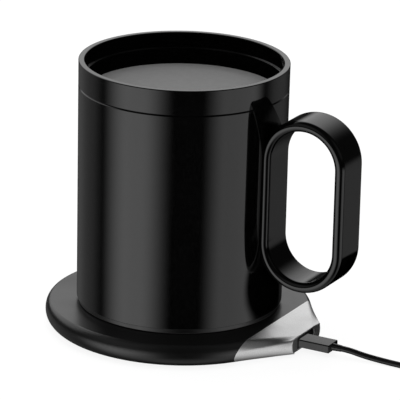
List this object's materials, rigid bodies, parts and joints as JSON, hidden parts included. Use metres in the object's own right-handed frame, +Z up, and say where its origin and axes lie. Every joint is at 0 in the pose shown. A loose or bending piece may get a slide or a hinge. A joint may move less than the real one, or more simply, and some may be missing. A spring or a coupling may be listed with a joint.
{
  "type": "electric mug warmer",
  "caption": "Round powered warming base with a sprung hot plate, a matching handled mug that lifts off it and a plug-in power cord laid in a coil.",
  "frame": {"origin": "centre of the foot pad's face on the table, on the axis of the base and the mug", "axes": "+Z up, +X towards the power socket and the handle, +Y completes the right-handed frame"},
  "size_m": [0.1816, 0.1328, 0.1054],
  "materials": {
    "black_casing": "fine satin, black",
    "grey_bezel": "matt dark grey",
    "silver_cover": "bead-blasted silver",
    "black_silicone": "matt",
    "steel": "plated",
    "board": "green solder mask",
    "chip_black": "moulded",
    "capacitor_tan": "fired",
    "terminal_white": "moulded",
    "plate_coating": "black non-stick coating",
    "mica": "pressed mica sheet",
    "insulation": "felted fibre",
    "inner_plastic": "moulded",
    "sensor_glass": "sealed bead",
    "fuse_white": "ceramic-filled",
    "lead_red": "silicone-sleeved wire",
    "mug_foot_metal": "black anodised",
    "mug_gloss": "high gloss black",
    "handle_gloss": "high gloss black",
    "plug_plastic": "satin",
    "cord_black": "satin jacket"
  },
  "bodies": {
    "base": {"bottom_shell": "black_casing", "top_shell": "black_casing", "port_cover": "silver_cover", "port_bezel": "grey_bezel", "foot_pad": "black_silicone", "plate_gasket": "black_silicone", "housing_screws": "steel", "circuit_board": "board", "board_screws": "steel", "control_chip": "chip_black", "heater_transistor": "chip_black", "filter_capacitors": "capacitor_tan", "chip_resistors": "chip_black", "wire_terminals": "terminal_white", "usb_socket": "steel", "socket_tongue": "chip_black", "switch_body": "chip_black", "plate_springs": "steel", "heater_leads": "lead_red"},
    "plate": {"hot_plate": "plate_coating", "heater_element": "mica", "insulation_disc": "insulation", "plate_carrier": "inner_plastic", "temperature_sensor": "sensor_glass", "thermal_fuse": "fuse_white"},
    "switch": {"switch_plunger": "terminal_white"},
    "mug": {"mug_foot": "mug_foot_metal", "mug_wall": "mug_gloss", "mug_liner": "mug_gloss", "mug_handle": "handle_gloss"},
    "cord": {"plug_shell": "steel", "plug_grip": "plug_plastic", "plug_relief": "cord_black", "cord_lead": "cord_black", "cord_coil": "cord_black", "cord_tie": "cord_black", "cord_tail": "cord_black", "far_relief": "cord_black", "far_grip": "plug_plastic", "far_shell": "steel", "far_tongue": "terminal_white"}
  },
  "joints": [
    {"name": "plate_press", "type": "slide", "parent": "base", "child": "plate", "axis": [0, 0, 1], "range_m": [0, 0.0008], "stiffness_N_per_m": 500, "springref_m": 0.002, "deforming": ["plate_springs", "heater_leads"]},
    {"name": "switch_press", "type": "slide", "parent": "base", "child": "switch", "axis": [0, 0, 1], "range_m": [0, 0.0008]},
    {"name": "mug_lift", "type": "slide", "parent": "plate", "child": "mug", "axis": [0, 0, 1], "range_m": [0, 0.11]},
    {"name": "plug_pull", "type": "slide", "parent": "base", "child": "cord", "axis": [1, 0, 0], "range_m": [0, 0.01]}
  ],
  "couplings": [
    {"joint": "switch_press", "follows": "plate_press", "ratio": 1}
  ]
}
